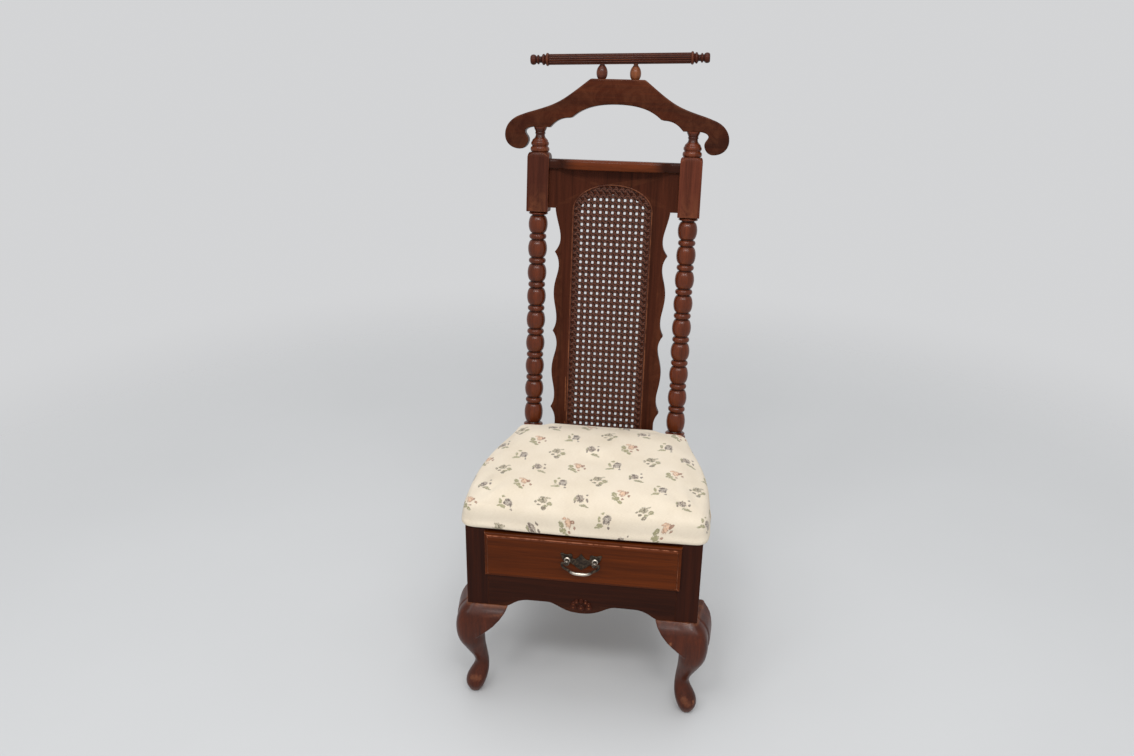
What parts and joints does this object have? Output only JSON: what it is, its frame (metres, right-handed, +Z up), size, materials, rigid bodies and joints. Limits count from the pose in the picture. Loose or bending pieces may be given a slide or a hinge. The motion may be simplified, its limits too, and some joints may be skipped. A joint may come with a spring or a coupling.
{
  "type": "clothes valet chair",
  "caption": "Valet chair with a padded seat over a drawer, cabriole front legs, a caned back between turned posts, a coat hanger and a trouser bar.",
  "frame": {"origin": "on the floor, at the centre of the object's overall width and depth", "axes": "+Z up, front of the seat and drawer towards -Y, +X to the right as seen from the front"},
  "size_m": [0.496, 0.5231, 1.1892],
  "materials": {
    "mahogany": "dark red-brown satin lacquer",
    "orange_wood": "orange-brown satin lacquer",
    "plain_wood": "unfinished secondary wood",
    "cane": "stained woven cane",
    "brass": "antique dark brass",
    "fabric": "cream tapestry with small floral sprigs"
  },
  "bodies": {
    "chair": {"front_leg_left": "mahogany", "front_leg_right": "mahogany", "knee_block_front_left": "mahogany", "knee_block_front_right": "mahogany", "knee_block_side_left": "mahogany", "knee_block_side_right": "mahogany", "front_stile_left": "mahogany", "front_stile_right": "mahogany", "top_rail": "mahogany", "apron": "mahogany", "shell_carving": "mahogany", "side_panel_left": "mahogany", "side_panel_right": "mahogany", "back_rail": "mahogany", "corner_block_left": "plain_wood", "corner_block_right": "plain_wood", "drawer_runner_left": "plain_wood", "drawer_runner_right": "plain_wood", "drawer_kicker_left": "plain_wood", "drawer_kicker_right": "plain_wood", "back_post_left": "mahogany", "back_post_right": "mahogany", "splat": "mahogany", "cane_panel": "cane", "cane_spline": "mahogany", "cap_rail": "orange_wood", "hanger": "mahogany", "egg_left": "mahogany", "egg_right": "mahogany", "trouser_bar": "mahogany", "seat_board": "plain_wood", "seat_cushion": "fabric"},
    "drawer": {"drawer_front": "orange_wood", "drawer_side_left": "plain_wood", "drawer_side_right": "plain_wood", "drawer_back": "plain_wood", "drawer_bottom": "plain_wood", "pull_plate": "brass", "pull_post_left": "brass", "pull_post_right": "brass"},
    "bail": {"pull_bail": "brass"}
  },
  "joints": [
    {"name": "drawer_slide", "type": "slide", "parent": "chair", "child": "drawer", "axis": [0, -1, 0], "range_m": [0, 0.24]},
    {"name": "bail_hinge", "type": "hinge", "parent": "drawer", "child": "bail", "pos_m": [0, -0.25623, 0.336], "axis": [-1, 0, 0], "range_deg": [0, 95]}
  ]
}
